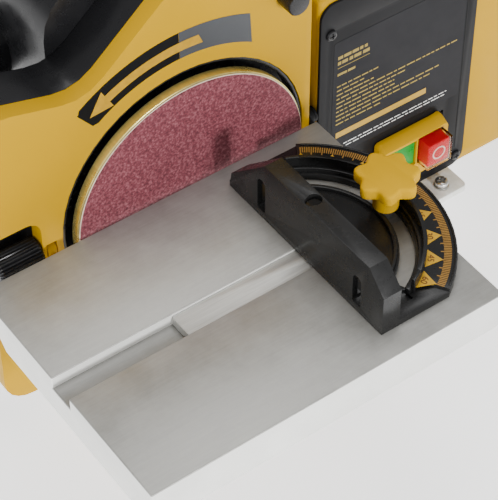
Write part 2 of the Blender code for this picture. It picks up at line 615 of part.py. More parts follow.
def table_lugs():
    """Painted steel lugs that hang the table on its tilt axis, left in the housing and right beside it."""
    y, z = TILT
    for name, finish, (start, end), foot_start, foot_end, foot_top, foot_low, low in (
            ("table_lug_left", "yellow_paint", LUG_LEFT, -90, -72, -TABLE_SKIN - GAP, -9.6, -24),
            ("table_lug_right", "black_paint", LUG_RIGHT, 70, 90, -TABLE_HEIGHT - GAP, -29.6, -30)):
        bar = [(y - 4, z - 3), (-8, -11), (-34, -11), (-60, foot_top - 0.4), (-60, low), (-10, low),
               (y + 3, z - 3)]
        lug = prism(name, [bar], "X", start, end, finish)
        fuse(lug, stepped(name + "_eye", TILT, "X", [(5.4, start, end)], segments=20),
             box(name + "_foot", (foot_start, -58, foot_low), (foot_end, -36, foot_top)))
        carve(lug, stepped(name + "_bore", TILT, "X", [(3.3, start - 5, end + 5)], segments=16))
    stepped("table_pin_right", TILT, "X", [(3, 83.2, 91.6), (5, 91.6, 93.2)], "black_paint", segments=16)


def lock_knob():
    """Knob with a stud, which clamps the left lug."""
    stepped("table_lock_knob", TILT, "X",
            [(9, KNOB_LEFT, KNOB_LEFT + 1.5), (9.9, KNOB_LEFT + 1.5, KNOB_RIGHT - 1.5),
             (9, KNOB_RIGHT - 1.5, KNOB_RIGHT), (3, KNOB_RIGHT, -84.5)],
            "black_plastic", segments=20)


# ---------------------------------------------------------------- mitre gauge

def mitre_gauge():
    """Bar in the slot, swivelling head with its fence, pivot screw and star knob."""
    low = -SLOT_DEPTH + GAP
    bar = box("mitre_bar", (-66.4, SLOT_NEAR + 0.4, low), (88, SLOT_FAR - 0.4, -1.7), "steel")
    fuse(bar, stepped("pivot_post", HEAD_PIVOT, "Z", [(2.2, -3, 9.5)], segments=20),
         stepped("clamp_stud", MITRE_KNOB, "Z", [(3, -3, STAR_LOW - 1)], segments=16))
    mitre_head()
    stepped("mitre_pivot_screw", HEAD_PIVOT, "Z", [(3, 10.1, 12.5)], "steel", segments=16)
    knob = stepped("mitre_knob", MITRE_KNOB, "Z",
                   [(7.4, 6.9, STAR_LOW - 0.5), (12, STAR_LOW - 0.5, STAR_LOW + 0.5)], "yellow_plastic",
                   segments=28)
    count, middle, wave, lobes = 72, 16.6, 1.9, 7
    star = []
    for i in range(count):
        a = 2 * math.pi * i / count
        radius = middle + wave * math.cos(lobes * (a - STAR_TURN))
        star.append((MITRE_KNOB[0] + radius * math.cos(a), MITRE_KNOB[1] + radius * math.sin(a)))
    fuse(knob, prism("knob_star", [star], "Z", STAR_LOW, STAR_TOP))
    carve(knob, stepped("knob_bore", MITRE_KNOB, "Z", [(3.3, 0, STAR_LOW)], segments=16))


def mitre_head():
    """Half-round scale plate and a hollow fence with two screw slots."""
    x, y = HEAD_PIVOT
    half = (FENCE_FAR - FENCE_NEAR) / 2
    lean = math.degrees(math.asin(half / HEAD_RADIUS))
    plan = [(FENCE_FACE, y - half)] + arc(x, y, HEAD_RADIUS, -lean, lean, 22) + [(FENCE_FACE, y + half)]
    window = arc(x, y, KNOB_REACH - 4.3, -65, 65, 16) + arc(x, y, KNOB_REACH + 4.3, 65, -65, 16)
    head = prism("mitre_head", [plan, window], "Z", GAP, 4.5, "black_plastic")
    rim = arc(x, y, HEAD_RADIUS, -lean, lean, 22) + arc(x, y, HEAD_RADIUS - 19, lean, -lean, 22)
    wall = arc(x, y, SCALE_WALL[1], -lean, lean, 22) + arc(x, y, SCALE_WALL[0], lean, -lean, 22)
    side = [(FENCE_NEAR, GAP), (FENCE_FAR, GAP), (FENCE_FAR - 1.6, 11), (-46, FENCE_TOP),
            (-137, FENCE_TOP), (FENCE_NEAR, 28)]
    hollow = [(FENCE_NEAR + 5, 7), (FENCE_FAR - 14, 7), (-48, FENCE_TOP - 4), (-136, FENCE_TOP - 4),
              (FENCE_NEAR + 5, 26)]
    fuse(head, prism("scale_rim", [rim], "Z", 1, 6.5), prism("scale_wall", [wall], "Z", 1, 14),
         prism("fence", [side], "X", FENCE_FACE, FENCE_BACK))
    boss = stepped("pivot_boss", HEAD_PIVOT, "Z", [(4.2, 1, 9.8)], segments=20)
    carve(head, prism("fence_hollow", [hollow], "X", FENCE_FACE + 3.5, FENCE_BACK + 5))
    fuse(head, boss)
    carve(head,
          stepped("pivot_hole", HEAD_PIVOT, "Z", [(2.5, -5, 9.8), (3.3, 9.8, 60)], segments=20),
          stepped("ledge_hole", (x + 2.6, y), "Z", [(4.2, 30, 60)], segments=24))
    for i, (slot_y, top) in enumerate(((-43.2, 28.3), (-127.7, 26))):
        outline = rounded([(slot_y - 3.5, 5.2, 1), (slot_y + 3.5, 5.2, 1), (slot_y + 3.5, top, 3.3),
                           (slot_y - 3.5, top, 3.3)])
        carve(head, prism(f"fence_slot_{i}", [outline], "X", FENCE_FACE - 5, FENCE_FACE + 6))
    for side in (-1, 1):
        corners = [(29, 51), (38, 51), (41, 53.5), (41, 60.3), (29, 60.3)][::-side]
        pocket = [(u, y + side * v) for u, v in corners]
        carve(head, prism(f"end_pocket_{side}", [pocket], "Z", 2.5, 20))


# ---------------------------------------------------------------- joints

def hang(name, pivot, pieces):
    """Parent the moving pieces to an empty on their joint's axis."""
    empty = bpy.data.objects.new(name, None)
    empty.location = world(*pivot)
    PARTS.objects.link(empty)
    for piece in pieces:
        obj = bpy.data.objects[piece]
        obj.parent = empty
        obj.matrix_parent_inverse = Matrix.Translation(-empty.location)


def joints():
    x, z = DRUM
    head = (*HEAD_PIVOT, 0)
    button_z = sum(BUTTON_Z) / 2
    hang("spindle_axis", (SPINDLE[0], 0, SPINDLE[1]),
         ["spindle_shaft", "disc_plate", "abrasive_disc", "spindle_timing_pulley", "spindle_pulley"])
    hang("motor_axis", (MOTOR[0], 0, MOTOR[1]), ["motor_rotor", "motor_fan", "motor_pulley"])
    hang("drum_axis", (x, 0, z), ["drive_drum", "drum_timing_pulley"])
    hang("arm_axis", (x, HOUSING_REAR, z),
         ["arm_side_plate", "arm_beam", "platen", "sanding_belt", "belt_guard", "work_stop"])
    hang("carriage_axis", (IDLER_X, HOUSING_REAR, z), ["idler_carriage"])
    hang("idler_axis", (IDLER_X, BELT_NEAR, z), ["idler_drum"])
    hang("tension_axis", (TENSION_PIVOT[0], HOUSING_REAR, z), ["tension_lever"])
    hang("tracking_axis", (IDLER_X, TRACKING_Y, z), ["tracking_knob"])
    hang("arm_lock_axis", (ARM_LOCK[0], 0, ARM_LOCK[1]), ["arm_lock_lever"])
    hang("table_axis", (0, *TILT), ["table_plate", "table_lug_left", "table_lug_right"])
    hang("table_lock_axis", (KNOB_RIGHT, *TILT), ["table_lock_knob"])
    hang("mitre_bar_axis", head, ["mitre_bar"])
    hang("mitre_head_axis", head, ["mitre_head", "mitre_pivot_screw"])
    hang("mitre_knob_axis", (*MITRE_KNOB, 0), ["mitre_knob"])
    hang("start_axis", (sum(START_X) / 2, 0, button_z), ["start_button"])
    hang("stop_axis", (sum(STOP_X) / 2, 0, button_z), ["stop_button"])


clear_scene()
PARTS = collection("belt_disc_sander")
CUTTERS = collection("cutters")
base_plate()
disc_housing()
housing_back()
disc_liner()
dust_hood()
motor_box()
cover_plate()
switch()
motor()
spindle()
drive_belts()
drums()
arm()
tension()
arm_lock()
table_plate()
table_lugs()
lock_knob()
mitre_gauge()
joints()
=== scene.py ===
"""Looks of the belt and disc bench sander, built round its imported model.

Places are millimetres from a datum point: on the table's top plane, at its rear edge, straight in
front of the disc's axis. X runs along the mitre slot, Y goes back through the disc and Z is up.
"""
import json
import math
import random

import bmesh
import bpy
from mathutils import Matrix, Vector


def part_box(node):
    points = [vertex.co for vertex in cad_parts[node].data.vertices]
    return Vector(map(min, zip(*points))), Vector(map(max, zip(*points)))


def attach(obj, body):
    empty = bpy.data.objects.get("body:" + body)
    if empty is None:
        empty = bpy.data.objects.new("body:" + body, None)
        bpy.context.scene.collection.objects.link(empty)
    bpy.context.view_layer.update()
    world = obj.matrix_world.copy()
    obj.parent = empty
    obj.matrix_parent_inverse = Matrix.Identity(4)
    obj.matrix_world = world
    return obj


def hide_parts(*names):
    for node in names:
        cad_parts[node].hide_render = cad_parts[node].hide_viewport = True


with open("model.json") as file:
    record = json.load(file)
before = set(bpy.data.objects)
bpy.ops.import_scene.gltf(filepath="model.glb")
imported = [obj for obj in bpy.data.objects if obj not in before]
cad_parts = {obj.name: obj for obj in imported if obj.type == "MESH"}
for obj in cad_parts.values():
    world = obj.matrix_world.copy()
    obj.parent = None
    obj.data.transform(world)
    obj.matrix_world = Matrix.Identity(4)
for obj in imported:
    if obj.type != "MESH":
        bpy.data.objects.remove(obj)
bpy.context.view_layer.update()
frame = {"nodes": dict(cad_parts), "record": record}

MM = 0.001

RECORD = frame["record"]
BODY = {node: body for body, nodes in RECORD["behaviour"]["bodies"].items() for node in nodes}

TABLE_LOW, TABLE_HIGH = (Vector(corner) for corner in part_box("table_plate"))
DISC_LOW, DISC_HIGH = (Vector(corner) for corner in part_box("abrasive_disc"))
DATUM = Vector(((DISC_LOW.x + DISC_HIGH.x) / 2, TABLE_HIGH.y, TABLE_HIGH.z))


def at(x, y, z):
    """World position, in metres, of a point given from the datum."""
    return DATUM + Vector((x, y, z)) * MM


def span(node):
    """A node's lowest and highest corners, in millimetres from the datum."""
    low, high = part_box(node)
    return (Vector(low) - DATUM) / MM, (Vector(high) - DATUM) / MM


def middle(node):
    """A node's centre, in millimetres from the datum."""
    low, high = span(node)
    return (low + high) / 2


DISC_CENTRE = middle("abrasive_disc")
DISC_RADIUS = (span("abrasive_disc")[1].x - span("abrasive_disc")[0].x) / 2
SPINDLE = (DISC_CENTRE.x, DISC_CENTRE.z)
FACE = span("disc_housing")[0].y             # y of the housing's and the plate's front
PIVOT = middle("mitre_pivot_screw")
KNOB = middle("mitre_knob")
HEAD_RADIUS = span("mitre_head")[1].x - PIVOT.x
STICKER = 0.15                               # thickness of the printed films
PRINT = 0.08                                 # thickness of the ink on them
SCALE_TOP = 6.5                              # height of the mitre head's scale
EVERY_WAY = (1, 1, 1)                        # a pattern's stretch when it has no direction


# ---------------------------------------------------------------- materials

def shade(name, colour, roughness=0.4, metallic=0.0, coat=0.0, specular=0.5):
    """New material with a plain Principled BSDF, as (material, node tree, shader)."""
    material = bpy.data.materials.new(name)
    material.use_nodes = True
    tree = material.node_tree
    shader = tree.nodes["Principled BSDF"]
    shader.inputs["Base Color"].default_value = (*colour, 1)
    shader.inputs["Roughness"].default_value = roughness
    shader.inputs["Metallic"].default_value = metallic
    shader.inputs["Coat Weight"].default_value = coat
    shader.inputs["Coat Roughness"].default_value = 0.12
    shader.inputs["Specular IOR Level"].default_value = specular
    return material, tree, shader


def noise(tree, scale, detail=3.0, stretch=EVERY_WAY, roughness=0.5):
    """Noise over the object's own coordinates, stretched along its axes."""
    place = tree.nodes.new("ShaderNodeTexCoord")
    mapping = tree.nodes.new("ShaderNodeMapping")
    mapping.inputs["Scale"].default_value = stretch
    texture = tree.nodes.new("ShaderNodeTexNoise")
    texture.inputs["Scale"].default_value = scale
    texture.inputs["Detail"].default_value = detail
    texture.inputs["Roughness"].default_value = roughness
    tree.links.new(place.outputs["Object"], mapping.inputs["Vector"])
    tree.links.new(mapping.outputs["Vector"], texture.inputs["Vector"])
    return texture.outputs["Fac"]


def cells(tree, scale):
    """Cell pattern over the object's own coordinates."""
    place = tree.nodes.new("ShaderNodeTexCoord")
    texture = tree.nodes.new("ShaderNodeTexVoronoi")
    texture.inputs["Scale"].default_value = scale
    tree.links.new(place.outputs["Object"], texture.inputs["Vector"])
    return texture


def ramp(tree, source, stops):
    """Colour ramp of (position, colour) stops, driven by a value."""
    node = tree.nodes.new("ShaderNodeValToRGB")
    elements = node.color_ramp.elements
    while len(elements) < len(stops):
        elements.new(0.5)
    for element, (position, colour) in zip(elements, stops):
        element.position = position
        element.color = (*colour, 1)
    tree.links.new(source, node.inputs["Fac"])
    return node.outputs["Color"]


def remap(tree, source, low, high, from_low=0.3, from_high=0.7):
    """A value's middle range, stretched to run from low to high."""
    node = tree.nodes.new("ShaderNodeMapRange")
    node.inputs["From Min"].default_value = from_low
    node.inputs["From Max"].default_value = from_high
    node.inputs["To Min"].default_value = low
    node.inputs["To Max"].default_value = high
    tree.links.new(source, node.inputs["Value"])
    return node.outputs["Result"]


def blend_colours(tree, kind, factor, first, second):
    """Two colours mixed in one of the blend modes."""
    node = tree.nodes.new("ShaderNodeMix")
    node.data_type = "RGBA"
    node.blend_type = kind
    node.inputs["Factor"].default_value = factor
    tree.links.new(first, node.inputs["A"])
    tree.links.new(second, node.inputs["B"])
    return node.outputs["Result"]


def bump(tree, shader, heights):
    """Chain of bumps from (height, strength, depth in millimetres) entries."""
    normal = None
    for height, strength, depth in heights:
        node = tree.nodes.new("ShaderNodeBump")
        node.inputs["Strength"].default_value = strength
        node.inputs["Distance"].default_value = depth * MM
        tree.links.new(height, node.inputs["Height"])
        if normal:
            tree.links.new(normal, node.inputs["Normal"])
        normal = node.outputs["Normal"]
    tree.links.new(normal, shader.inputs["Normal"])


def tones(colour, amount):
    """Darker and lighter versions of a colour."""
    return [tuple(min(1.0, c * (1 + side * amount)) for c in colour) for side in (-1, 1)]


def moulded(name, colour, roughness, grain=900.0, depth=0.05, vary=0.12, coat=0.0, specular=0.5):
    """Moulded plastic or sprayed paint: slight tone changes, a fine grain and uneven gloss."""
    material, tree, shader = shade(name, colour, roughness, coat=coat, specular=specular)
    dark, light = tones(colour, vary)
    tone = noise(tree, 18, 4)
    tree.links.new(ramp(tree, tone, [(0.3, dark), (0.7, light)]), shader.inputs["Base Color"])
    rub = noise(tree, 70, 6, EVERY_WAY, 0.65)
    tree.links.new(remap(tree, rub, roughness - 0.06, roughness + 0.1), shader.inputs["Roughness"])
    bump(tree, shader, [(noise(tree, 140, 2), 0.25, depth * 2), (noise(tree, grain, 2), 0.35, depth)])
    return material


def metal(name, colour, roughness, stretch=EVERY_WAY, scale=900.0, vary=0.12, depth=0.02, metallic=1.0):
    """Machined or plated metal: drawn lines along its short stretch axis, and hazy patches."""
    material, tree, shader = shade(name, colour, roughness, metallic)
    dark, light = tones(colour, vary)
    lines = noise(tree, scale, 4, stretch)
    patches = noise(tree, 35, 5)
    fine = ramp(tree, lines, [(0.3, dark), (0.7, light)])
    broad = ramp(tree, patches, [(0.3, (0.82, 0.82, 0.82)), (0.7, (1, 1, 1))])
    tree.links.new(blend_colours(tree, "MULTIPLY", 0.8, fine, broad), shader.inputs["Base Color"])
    tree.links.new(remap(tree, patches, roughness - 0.08, roughness + 0.12), shader.inputs["Roughness"])
    bump(tree, shader, [(lines, 0.3, depth)])
    return material


def ground_top(name, tone):
    """Ground aluminium: fine lines along the table, cloudy patches and a few small pits."""
    material, tree, shader = shade(name, (0.4, 0.39, 0.365), 0.42, metallic=0.35)
    lines = noise(tree, 700, 5, (0.06, 1, 1), 0.7)
    cross = noise(tree, 900, 3, (1, 0.15, 1), 0.6)
    clouds = noise(tree, 42, 8, EVERY_WAY, 0.66)
    dark, light = [[tone * value for value in grey] for grey in ((0.345, 0.34, 0.32), (0.4, 0.393, 0.372))]
    drawn = ramp(tree, lines, [(0.25, dark), (0.75, light)])
    mottled = ramp(tree, clouds, [(0.34, (0.8, 0.8, 0.785)), (0.66, (1, 1, 1))])
    pits = cells(tree, 260)
    specks = ramp(tree, pits.outputs["Distance"], [(0.03, (0.72, 0.71, 0.7)), (0.09, (1, 1, 1))])
    both = blend_colours(tree, "MULTIPLY", 1.0, drawn, mottled)
    tree.links.new(blend_colours(tree, "MULTIPLY", 0.5, both, specks), shader.inputs["Base Color"])
    tree.links.new(remap(tree, clouds, 0.36, 0.52), shader.inputs["Roughness"])
    bump(tree, shader, [(lines, 0.15, 0.02), (cross, 0.15, 0.02)])
    return material


def cast_side():
    """Cast, painted sides of the table with a pebbly skin; their pale colour, far lighter than the top, is
    partly painted light for the light the sides catch.
    """
    material, tree, shader = shade("pale_lit_table_faces", (0.74, 0.74, 0.71), 0.5, metallic=0.1)
    clouds = noise(tree, 30, 5)
    tree.links.new(ramp(tree, clouds, [(0.3, (0.78, 0.78, 0.74)), (0.7, (0.9, 0.9, 0.86))]),
                   shader.inputs["Base Color"])
    bump(tree, shader, [(noise(tree, 420, 4), 0.5, 0.12)])
    return material


def abrasive(name, dark, base, light):
    """Closely packed grit: dark gaps, coloured grain and a few bright facets."""
    material, tree, shader = shade(name, base, 0.75, specular=0.25)
    grain = noise(tree, 1500, 3, EVERY_WAY, 0.75)
    coarse = noise(tree, 620, 4, EVERY_WAY, 0.7)
    wide = noise(tree, 22, 4)
    body = ramp(tree, coarse, [(0.3, dark), (0.5, base), (0.72, light)])
    fine = ramp(tree, grain, [(0.3, (0.62, 0.6, 0.62)), (0.52, (1, 1, 1)), (0.7, (1.0, 0.98, 1.0))])
    broad = ramp(tree, wide, [(0.3, (0.88, 0.88, 0.88)), (0.7, (1, 1, 1))])
    mixed = blend_colours(tree, "MULTIPLY", 1.0, body, fine)
    tree.links.new(blend_colours(tree, "MULTIPLY", 1.0, mixed, broad), shader.inputs["Base Color"])
    tree.links.new(remap(tree, grain, 0.45, 0.85), shader.inputs["Roughness"])
    bump(tree, shader, [(coarse, 0.5, 0.25), (grain, 0.7, 0.15)])
    return material


def clear_plastic():
    """Clear, slightly warm plastic of the stop button's cap."""
    material, tree, shader = shade("clear_cap_plastic", (1.0, 0.9, 0.84), 0.05, specular=0.2)
    shader.inputs["Transmission Weight"].default_value = 1.0
    shader.inputs["IOR"].default_value = 1.15
    bump(tree, shader, [(noise(tree, 160, 2), 0.1, 0.05)])
    return material


def printed_ink(name, colour):
    """Printed ink with a slightly uneven edge-to-edge density."""
    material, tree, shader = shade(name, colour, 0.45)
    dark, light = tones(colour, 0.1)
    tree.links.new(ramp(tree, noise(tree, 300, 3), [(0.3, dark), (0.7, light)]), shader.inputs["Base Color"])
    bump(tree, shader, [(noise(tree, 900, 2), 0.2, 0.02)])
    return material


def make_materials():
    """All materials by their short names."""
    return {
        "yellow_paint": moulded("yellow_enamel", (0.5, 0.28, 0.0), 0.36, 500, 0.03, 0.03, specular=0.06),
        "black_paint": moulded("black_satin_paint", (0.009, 0.009, 0.01), 0.36, 700, 0.03, 0.2, specular=0.1),
        "black_plastic": moulded("black_moulded_plastic", (0.009, 0.009, 0.01), 0.26, 800, 0.03, 0.2,
                                 specular=0.3),
        "mitre_black": moulded("mitre_black_moulding", (0.013, 0.013, 0.013), 0.24, 800, 0.012, 0.15,
                               specular=0.3),
        "yellow_plastic": moulded("yellow_gloss_plastic", (0.54, 0.3, 0.0), 0.36, 700, 0.02, 0.03,
                                  specular=0.08),
        "yellow_knob": moulded("yellow_knob_plastic", (0.62, 0.35, 0.0), 0.55, 700, 0.03, 0.02,
                               specular=0.05),
        "table_top": ground_top("table_ground_top", 1.0),
        # Same ground top at 0.72 of its brightness: painted shade on the slot floor.
        "slot_floor": ground_top("slot_floor_painted_shade", 0.72),
        # Pale side material: partly painted light on the faces that catch the light.
        "lit_side_faces": cast_side(),
        "aluminium": metal("machined_aluminium", (0.62, 0.62, 0.62), 0.32, (1, 0.05, 1)),
        "zinc_steel": metal("bright_zinc_plate", (0.95, 0.95, 0.86), 0.5, EVERY_WAY, 240, metallic=0.05),
        "bright_steel": metal("drawn_bright_steel", (0.6, 0.6, 0.58), 0.3, (0.04, 1, 1), 900),
        "bar_steel": metal("ground_bar_steel", (0.44, 0.435, 0.41), 0.42, (0.05, 1, 1), 900, metallic=0.4),
        "steel": metal("machined_steel", (0.5, 0.5, 0.51), 0.35, (1, 0.06, 1)),
        "zinc_gold": metal("yellow_zinc_plate", (0.66, 0.57, 0.2), 0.26, (1, 0.1, 1), 400, metallic=0.8),
        "disc_paper": abrasive("maroon_disc_grit", (0.08, 0.015, 0.022), (0.2, 0.045, 0.06),
                               (0.42, 0.16, 0.18)),
        "belt_cloth": abrasive("brown_belt_grit", (0.09, 0.03, 0.015), (0.24, 0.09, 0.045),
                               (0.38, 0.18, 0.1)),
        "black_rubber": moulded("black_rubber", (0.02, 0.02, 0.02), 0.7, 500, 0.1, 0.25, specular=0.3),
        "copper": metal("lacquered_windings", (0.6, 0.28, 0.12), 0.4, (1, 0.05, 1), 500),
        "red_plastic": moulded("red_button_plastic", (0.62, 0.0, 0.012), 0.3, 700, 0.02, 0.04, specular=0.15),
        "green_plastic": moulded("green_button_plastic", (0.003, 0.24, 0.02), 0.3, 700, 0.02, 0.05,
                                 specular=0.15),
        "clear": clear_plastic(),
        "white_ink": printed_ink("white_ink", (0.85, 0.85, 0.82)),
        "yellow_ink": printed_ink("yellow_ink", (0.28, 0.19, 0.01)),
        "bar_ink": printed_ink("yellow_bar_ink", (0.4, 0.23, 0.0)),
        "orange_ink": printed_ink("orange_arrow_ink", (0.44, 0.24, 0.0)),
        "black_film": moulded("black_printed_film", (0.003, 0.003, 0.003), 0.5, 500, 0.02, 0.2,
                              specular=0.15),
        "grey_film": moulded("grey_printed_film", (0.06, 0.063, 0.068), 0.42, 500, 0.02, 0.15, specular=0.2),
        "label_film": moulded("label_film", (0.014, 0.014, 0.016), 0.45, 600, 0.02, 0.12, specular=0.09),
        "scale_gold": printed_ink("scale_gold_ink", (0.34, 0.17, 0.02)),
        "scale_yellow": printed_ink("scale_yellow_ink", (0.62, 0.34, 0.0)),
        "scale_red": printed_ink("scale_number_ink", (0.1, 0.012, 0.0)),
        "paper_edge": printed_ink("disc_paper_edge", (0.8, 0.66, 0.52)),
        # Near-black for a thin strip standing in for the shadow in a gap: painted shadow.
        "shadow_gap": moulded("painted_seam_shadow", (0.004, 0.004, 0.004), 0.6, 500, 0.05, 0.2, specular=0.2),
    }


# ---------------------------------------------------------------- shapes

def circle(u, v, radius, count=64):
    """Points round a circle."""
    return [(u + radius * math.cos(2 * math.pi * i / count),
             v + radius * math.sin(2 * math.pi * i / count)) for i in range(count)]


def arc(u, v, radius, start, end, count):
    """Points on an arc, with its angles in degrees."""
    angles = [math.radians(start + (end - start) * i / count) for i in range(count + 1)]
    return [(u + radius * math.cos(a), v + radius * math.sin(a)) for a in angles]


def rectangle(u0, v0, u1, v1):
    """Corners of a rectangle, anticlockwise."""
    return [(u0, v0), (u1, v0), (u1, v1), (u0, v1)]


def rounded(corners, step=9):
    """Polygon of (u, v, radius) corners, anticlockwise, with each corner rounded to its radius."""
    points = []
    for i, (u, v, radius) in enumerate(corners):
        corner = Vector((u, v))
        before = (Vector(corners[i - 1][:2]) - corner).normalized()
        after = (Vector(corners[(i + 1) % len(corners)][:2]) - corner).normalized()
        if radius <= 0:
            points.append((u, v))
            continue
        half = before.angle(after) / 2
        centre = corner + (before + after).normalized() * (radius / math.sin(half))
        reach = radius / math.tan(half)
        first = corner + before * reach - centre
        last = corner + after * reach - centre
        sweep = math.atan2(first.x * last.y - first.y * last.x, first.dot(last))
        count = max(1, round(abs(math.degrees(sweep)) / step))
        base = math.atan2(first.y, first.x)
        points += [(centre.x + radius * math.cos(base + sweep * k / count),
                    centre.y + radius * math.sin(base + sweep * k / count)) for k in range(count + 1)]
    return points


def plane_point(axis, u, v, depth):
    """Datum point of (u, v) on the plane across an axis: (y, z), (x, z) or (x, y)."""
    if axis == "X":
        return depth, u, v
    if axis == "Y":
        return u, depth, v
    return u, v, depth


def new_object(name, mesh):
    """Object with given data, in the scene."""
    obj = bpy.data.objects.new(name, mesh)
    bpy.context.scene.collection.objects.link(obj)
    return obj


def from_bmesh(name, shape):
    """Object from a finished bmesh, with its faces turned outwards."""
    bmesh.ops.remove_doubles(shape, verts=shape.verts, dist=1e-6)
    bmesh.ops.recalc_face_normals(shape, faces=shape.faces)
    mesh = bpy.data.meshes.new(name)
    shape.to_mesh(mesh)
    shape.free()
    return new_object(name, mesh)


def prism(name, loops, axis, start, end):
    """Flat outline with holes, extruded between two depths along an axis."""
    curve = bpy.data.curves.new(name, "CURVE")
    curve.dimensions = "2D"
    curve.fill_mode = "BOTH"
    for loop in loops:
        spline = curve.splines.new("POLY")
        spline.points.add(len(loop) - 1)
        spline.use_cyclic_u = True
        for point, (u, v) in zip(spline.points, loop):
            point.co = (u * MM, v * MM, 0, 1)
    outline = new_object(name + "_outline", curve)
    view = bpy.context.evaluated_depsgraph_get()
    flat = bpy.data.meshes.new_from_object(outline.evaluated_get(view))
    bpy.data.objects.remove(outline)
    shape = bmesh.new()
    shape.from_mesh(flat)
    bpy.data.meshes.remove(flat)
    bmesh.ops.remove_doubles(shape, verts=shape.verts, dist=1e-7)
    bmesh.ops.dissolve_limit(shape, angle_limit=0.01, verts=shape.verts, edges=shape.edges)
    made = bmesh.ops.extrude_face_region(shape, geom=list(shape.faces))
    top = {v for v in made["geom"] if isinstance(v, bmesh.types.BMVert)}
    for vertex in shape.verts:
        u, v = vertex.co.x / MM, vertex.co.y / MM
        vertex.co = at(*plane_point(axis, u, v, end if vertex in top else start))
    return from_bmesh(name, shape)


def turned(name, centre, axis, profile, segments=96, closed=False):
    """Profile of (radius, height) points, from one end to the other, spun about an axis."""
    shape = bmesh.new()
    rings = []
    for radius, height in profile:
        if radius <= 1e-6:
            rings.append([shape.verts.new(at(*plane_point(axis, *centre, height)))])
            continue
        rings.append([shape.verts.new(at(*plane_point(axis, u, v, height)))
                      for u, v in circle(*centre, radius, segments)])
    pairs = list(zip(rings, rings[1:]))
    if closed:
        pairs.append((rings[-1], rings[0]))
    for low, high in pairs:
        for i in range(segments):
            j = (i + 1) % segments
            corners = [low[i % len(low)], low[j % len(low)], high[j % len(high)], high[i % len(high)]]
            unique = list(dict.fromkeys(corners))
            if len(unique) > 2:
                shape.faces.new(unique)
    return from_bmesh(name, shape)


def lofted(name, loops):
    """Closed solid through loops of datum points, all with the same count."""
    shape = bmesh.new()
    rings = [[shape.verts.new(at(*point)) for point in loop] for loop in loops]
    for low, high in zip(rings, rings[1:]):
        for i in range(len(low)):
            j = (i + 1) % len(low)
            shape.faces.new((low[i], low[j], high[j], high[i]))
    shape.faces.new(rings[0])
    shape.faces.new(rings[-1])
    return from_bmesh(name, shape)


def box(name, low, high):
    """Block between two corners."""
    return prism(name, [rectangle(low[0], low[1], high[0], high[1])], "Z", low[2], high[2])


def bake(obj):
    """Apply an object's modifiers to its mesh."""
    view = bpy.context.evaluated_depsgraph_get()
    mesh = bpy.data.meshes.new_from_object(obj.evaluated_get(view))
    obj.modifiers.clear()
    obj.data = mesh
    return obj


def carve(target, *cutters):
    """Cut solids out of a target and remove them."""
    for cutter in cutters:
        step = target.modifiers.new("shape", "BOOLEAN")
        step.operation = "DIFFERENCE"
        step.solver = "EXACT"
        step.object = cutter
        bake(target)
        bpy.data.objects.remove(cutter)
    return target


def merge(name, pieces):
    """One object from several that don't touch, keeping their materials."""
    shape = bmesh.new()
    materials = []
    for piece in pieces:
        offset = len(materials)
        materials += list(piece.data.materials)
        start = len(shape.faces)
        shape.from_mesh(piece.data)
        shape.faces.ensure_lookup_table()
        for face in shape.faces[start:]:
            face.material_index += offset
        bpy.data.objects.remove(piece)
    mesh = bpy.data.meshes.new(name)
    shape.to_mesh(mesh)
    shape.free()
    for material in materials:
        mesh.materials.append(material)
    return new_object(name, mesh)


def soften(obj, width, segments=2, angle=32):
    """Round the edges sharper than an angle, and smooth the shading between them."""
    shape = bmesh.new()
    shape.from_mesh(obj.data)
    bmesh.ops.remove_doubles(shape, verts=shape.verts, dist=2e-6)
    bmesh.ops.dissolve_limit(shape, angle_limit=math.radians(0.6), verts=shape.verts, edges=shape.edges)
    shape.to_mesh(obj.data)
    shape.free()
    if width:
        edge = obj.modifiers.new("edges", "BEVEL")
        edge.width = width * MM
        edge.segments = segments
        edge.limit_method = "ANGLE"
        edge.angle_limit = math.radians(angle)
        edge.use_clamp_overlap = True
        bake(obj)
    obj.data.shade_smooth()
    obj.data.set_sharp_from_angle(angle=math.radians(angle))
    return obj


def place(obj, node, material, replaces=True):
    """Give a finished piece its material, and let it ride and stand for a CAD node."""
    if material:
        obj.data.materials.clear()
        obj.data.materials.append(MATERIALS[material])
    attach(obj, BODY[node])
    if replaces:
        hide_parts(node)
    return obj


def dress(node, material, width=0.5, segments=2, angle=32):
    """A copy of a CAD node with rounded edges."""
    mesh = frame["nodes"][node].data.copy()
    mesh.materials.clear()
    obj = soften(new_object(node + "_skin", mesh), width, segments, angle)
    return place(obj, node, material)


# ---------------------------------------------------------------- table and mitre gauge

def table():
    """Ground top and slot, with pale cast sides and underside; the sides' paleness is partly painted light.
    """
    obj = dress("table_plate", "table_top", 0.7, 2)
    obj.data.materials.append(MATERIALS["lit_side_faces"])
    obj.data.materials.append(MATERIALS["slot_floor"])
    low, high = TABLE_LOW, TABLE_HIGH
    for face in obj.data.polygons:
        centre, normal = face.center, face.normal
        deep = centre.z < high.z - 9 * MM
        outside = min(centre.x - low.x, high.x - centre.x, centre.y - low.y) < 0.2 * MM
        slot_wall = normal.y < -0.7 and centre.z < high.z - 1 * MM
        # Slot floor faces get the darker copy of the top: painted shade.
        slot_floor = normal.z > 0.7 and centre.z < high.z - 1 * MM
        # Sides, underside and forward-facing slot walls get the pale side material: partly painted light.
        if deep or slot_wall or (outside and normal.z < 0.3):
            face.material_index = 1
        elif slot_floor:
            face.material_index = 2
    dress("table_lug_left", "yellow_paint", 0.4)
    dress("table_lug_right", "black_paint", 0.4)
    dress("table_pin_right", "black_paint", 0.3)
    knob_ribs()


